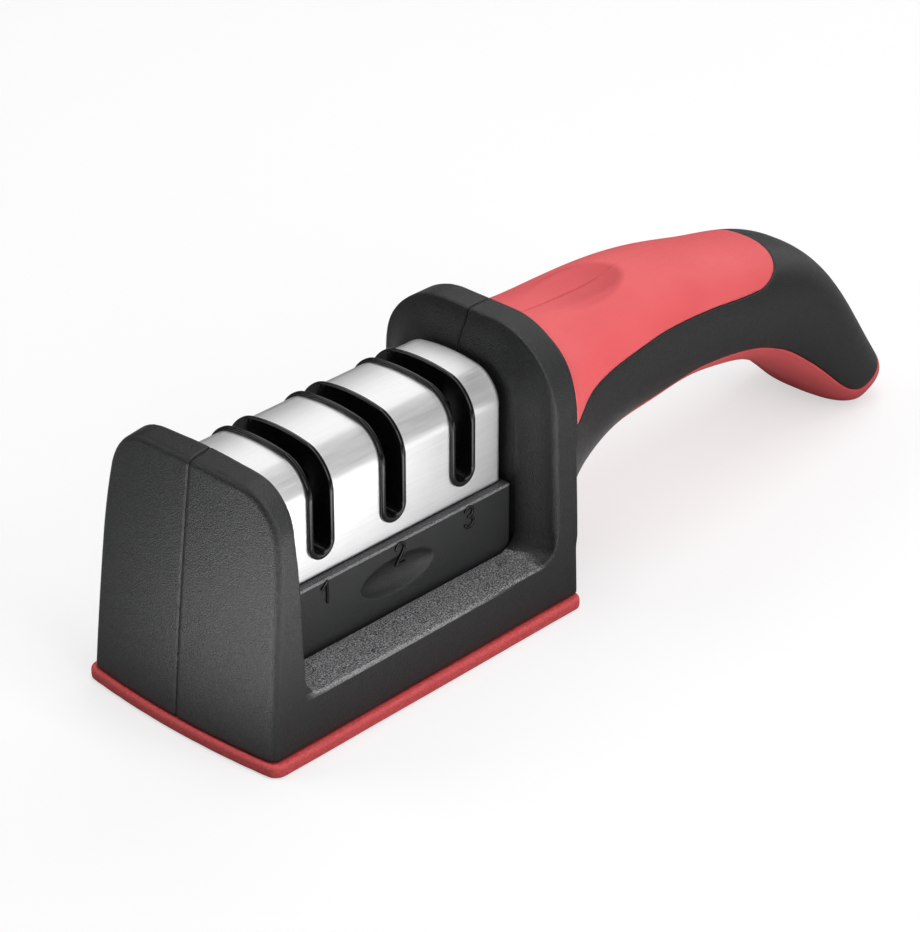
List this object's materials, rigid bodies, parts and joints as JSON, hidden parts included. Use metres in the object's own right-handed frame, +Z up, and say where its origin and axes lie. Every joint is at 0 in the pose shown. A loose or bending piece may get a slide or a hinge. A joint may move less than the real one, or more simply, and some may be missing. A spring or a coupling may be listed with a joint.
{
  "type": "pull-through knife sharpener",
  "caption": "Hand-held pull-through knife sharpener: slotted steel-covered cartridge between two pillars on a rubber-soled base, with an arched two-colour handle.",
  "frame": {"origin": "middle of the bounding box's footprint, on the underside of the rubber sole", "axes": "+X along the length, from the blunt front end to the tail of the handle; +Y across, to the right of a user behind the handle; +Z up"},
  "size_m": [0.1944, 0.0508, 0.0575],
  "materials": {
    "black_abs": "satin, fine spark-eroded texture",
    "red_grip": "soft-touch matte",
    "red_sole": "matte",
    "gloss_black": "gloss",
    "steel": "brushed along the length",
    "zinc": "zinc plated",
    "diamond": "nickel-bonded grit",
    "carbide": "ground",
    "ceramic": "fine unglazed ceramic"
  },
  "bodies": {
    "housing": {"housing_left": "black_abs", "housing_right": "black_abs", "top_grip_left": "red_grip", "top_grip_right": "red_grip", "under_grip_left": "red_grip", "under_grip_right": "red_grip", "base_pad": "red_sole", "base_plate": "black_abs", "base_screw_1": "zinc", "base_screw_2": "zinc", "base_screw_3": "zinc", "base_screw_4": "zinc", "handle_screw_1": "zinc", "handle_screw_2": "zinc", "handle_screw_3": "zinc"},
    "cartridge": {"cartridge_frame": "black_abs", "cartridge_floor": "black_abs", "cartridge_screw_1": "zinc", "cartridge_screw_2": "zinc", "steel_cover": "steel", "slot_guide_1": "gloss_black", "slot_guide_2": "gloss_black", "slot_guide_3": "gloss_black", "diamond_rod_holder": "black_abs", "diamond_rod_a": "diamond", "diamond_rod_b": "diamond", "ceramic_rod_holder": "black_abs", "ceramic_rod_a": "ceramic", "ceramic_rod_b": "ceramic", "blade_holder": "black_abs", "carbide_blade_a": "carbide", "carbide_blade_b": "carbide", "blade_screw": "zinc", "blade_nut": "zinc"}
  },
  "joints": [
    {"name": "cartridge_lift", "type": "slide", "parent": "housing", "child": "cartridge", "axis": [0, 0, 1], "range_m": [0, 0.051]}
  ]
}
